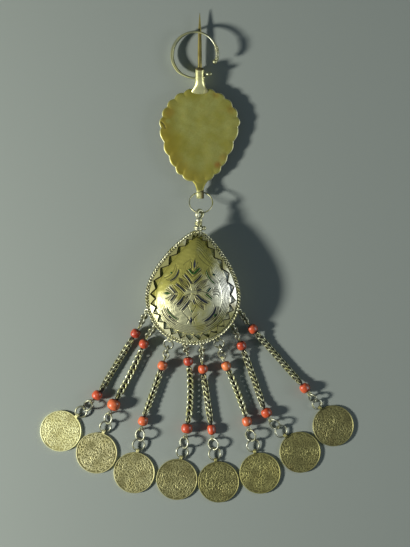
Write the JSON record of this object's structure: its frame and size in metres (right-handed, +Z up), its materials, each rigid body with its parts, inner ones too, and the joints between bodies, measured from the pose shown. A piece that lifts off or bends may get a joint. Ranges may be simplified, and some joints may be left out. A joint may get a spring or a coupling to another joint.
{
  "type": "fibula brooch",
  "caption": "Open-ring fibula brooch with a scalloped plate, an enamelled pear-shaped pendant and a fan of chains with coral beads and coins.",
  "frame": {"origin": "on the surface that the brooch lies on, under the middle of its outline", "axes": "+Y along the brooch towards the tip of the pin, +Z up, away from the surface, +X to the right as seen from above"},
  "size_m": [0.1315, 0.2052, 0.0147],
  "materials": {
    "plate_silver": "tarnished",
    "pin_brass": "worn",
    "ring_silver": "worn",
    "wire_silver": "worn",
    "pendant_silver": "worn",
    "enamelled_silver": "engraved and enamelled",
    "coral": "polished",
    "chain_silver": "worn",
    "coin_silver": "worn"
  },
  "bodies": {
    "brooch": {"fibula_plate": "plate_silver", "front_boss": "plate_silver", "pin": "pin_brass", "jump_ring": "wire_silver", "pendant_box": "pendant_silver", "enamel_dome": "enamelled_silver", "upper_bead_1": "coral", "bead_wires_1": "wire_silver", "chain_1": "chain_silver", "lower_bead_1": "coral", "jump_rings_1": "wire_silver", "coin_1": "coin_silver", "upper_bead_2": "coral", "bead_wires_2": "wire_silver", "chain_2": "chain_silver", "lower_bead_2": "coral", "jump_rings_2": "wire_silver", "coin_2": "coin_silver", "upper_bead_3": "coral", "bead_wires_3": "wire_silver", "chain_3": "chain_silver", "lower_bead_3": "coral", "jump_rings_3": "wire_silver", "coin_3": "coin_silver", "upper_bead_4": "coral", "bead_wires_4": "wire_silver", "chain_4": "chain_silver", "lower_bead_4": "coral", "jump_rings_4": "wire_silver", "coin_4": "coin_silver", "upper_bead_5": "coral", "bead_wires_5": "wire_silver", "chain_5": "chain_silver", "lower_bead_5": "coral", "jump_rings_5": "wire_silver", "coin_5": "coin_silver", "upper_bead_6": "coral", "bead_wires_6": "wire_silver", "chain_6": "chain_silver", "lower_bead_6": "coral", "jump_rings_6": "wire_silver", "coin_6": "coin_silver", "upper_bead_7": "coral", "bead_wires_7": "wire_silver", "chain_7": "chain_silver", "lower_bead_7": "coral", "jump_rings_7": "wire_silver", "coin_7": "coin_silver", "upper_bead_8": "coral", "bead_wires_8": "wire_silver", "chain_8": "chain_silver", "lower_bead_8": "coral", "jump_rings_8": "wire_silver", "coin_8": "coin_silver"},
    "ring": {"fibula_ring": "ring_silver"}
  },
  "joints": [
    {"name": "ring_turn", "type": "hinge", "parent": "brooch", "child": "ring", "pos_m": [-0.001, 0.0849, 0.0041], "axis": [-0.1908, 0, 0.9816], "range_deg": [-6, 245]}
  ]
}
